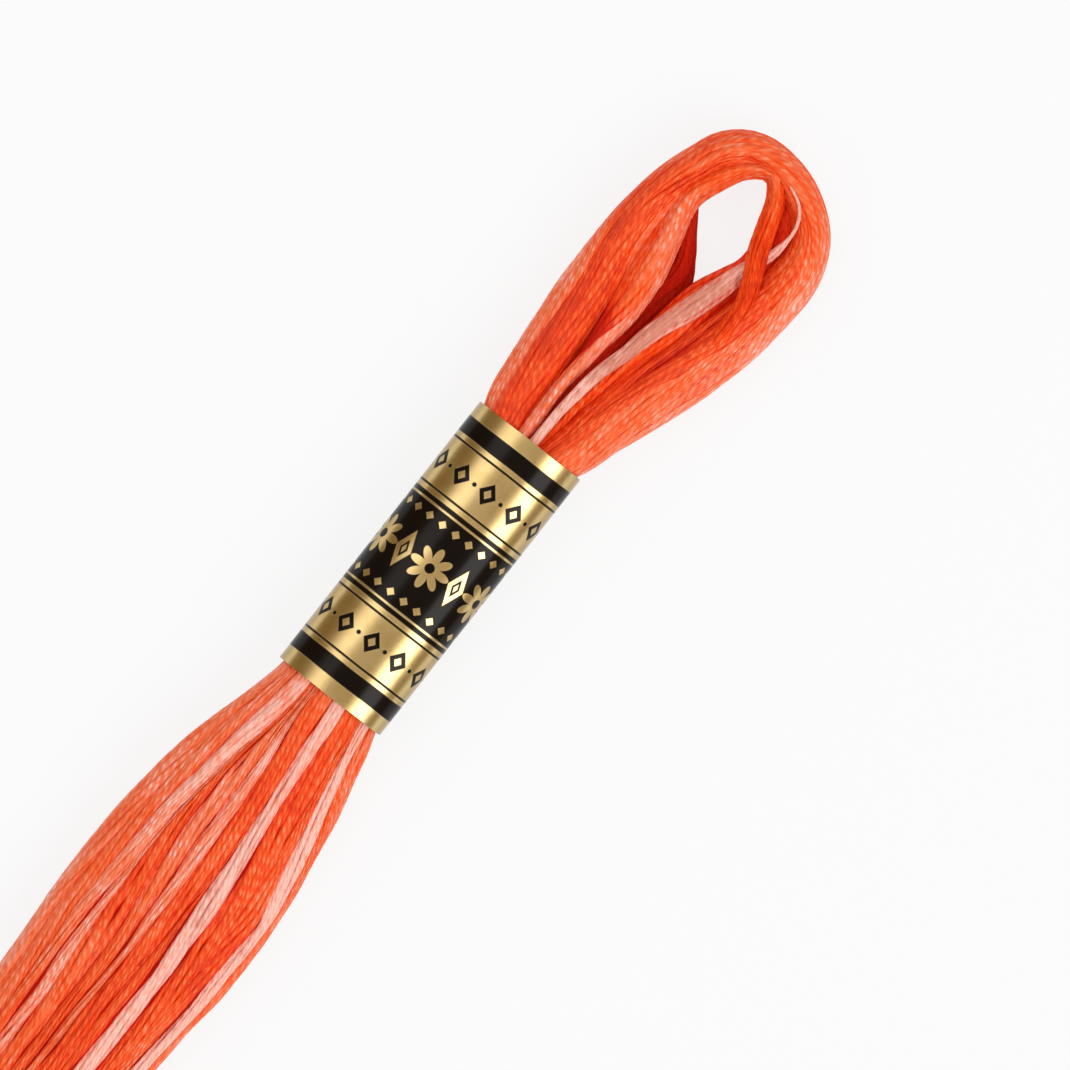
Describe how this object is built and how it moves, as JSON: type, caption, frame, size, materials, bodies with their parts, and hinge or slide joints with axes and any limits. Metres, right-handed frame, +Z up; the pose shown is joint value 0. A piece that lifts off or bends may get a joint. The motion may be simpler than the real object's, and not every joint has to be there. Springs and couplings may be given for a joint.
{
  "type": "embroidery floss skein",
  "caption": "Skein of stranded embroidery floss lying flat, held round its neck by a paper band, with its turns opened into a loop at one end.",
  "frame": {"origin": "bottom centre of the skein's bounding box, on the surface that the skein lies on", "axes": "+Y along the skein towards its loop, +Z up from the surface, +X across the skein to the right when the loop points away"},
  "size_m": [0.0242, 0.1558, 0.0099],
  "materials": {
    "coral_floss": "coral mercerised cotton with a silky sheen",
    "gold_and_black_paper": null
  },
  "bodies": {
    "root": {"floss_hank": "coral_floss", "paper_band": "gold_and_black_paper"}
  },
  "joints": []
}
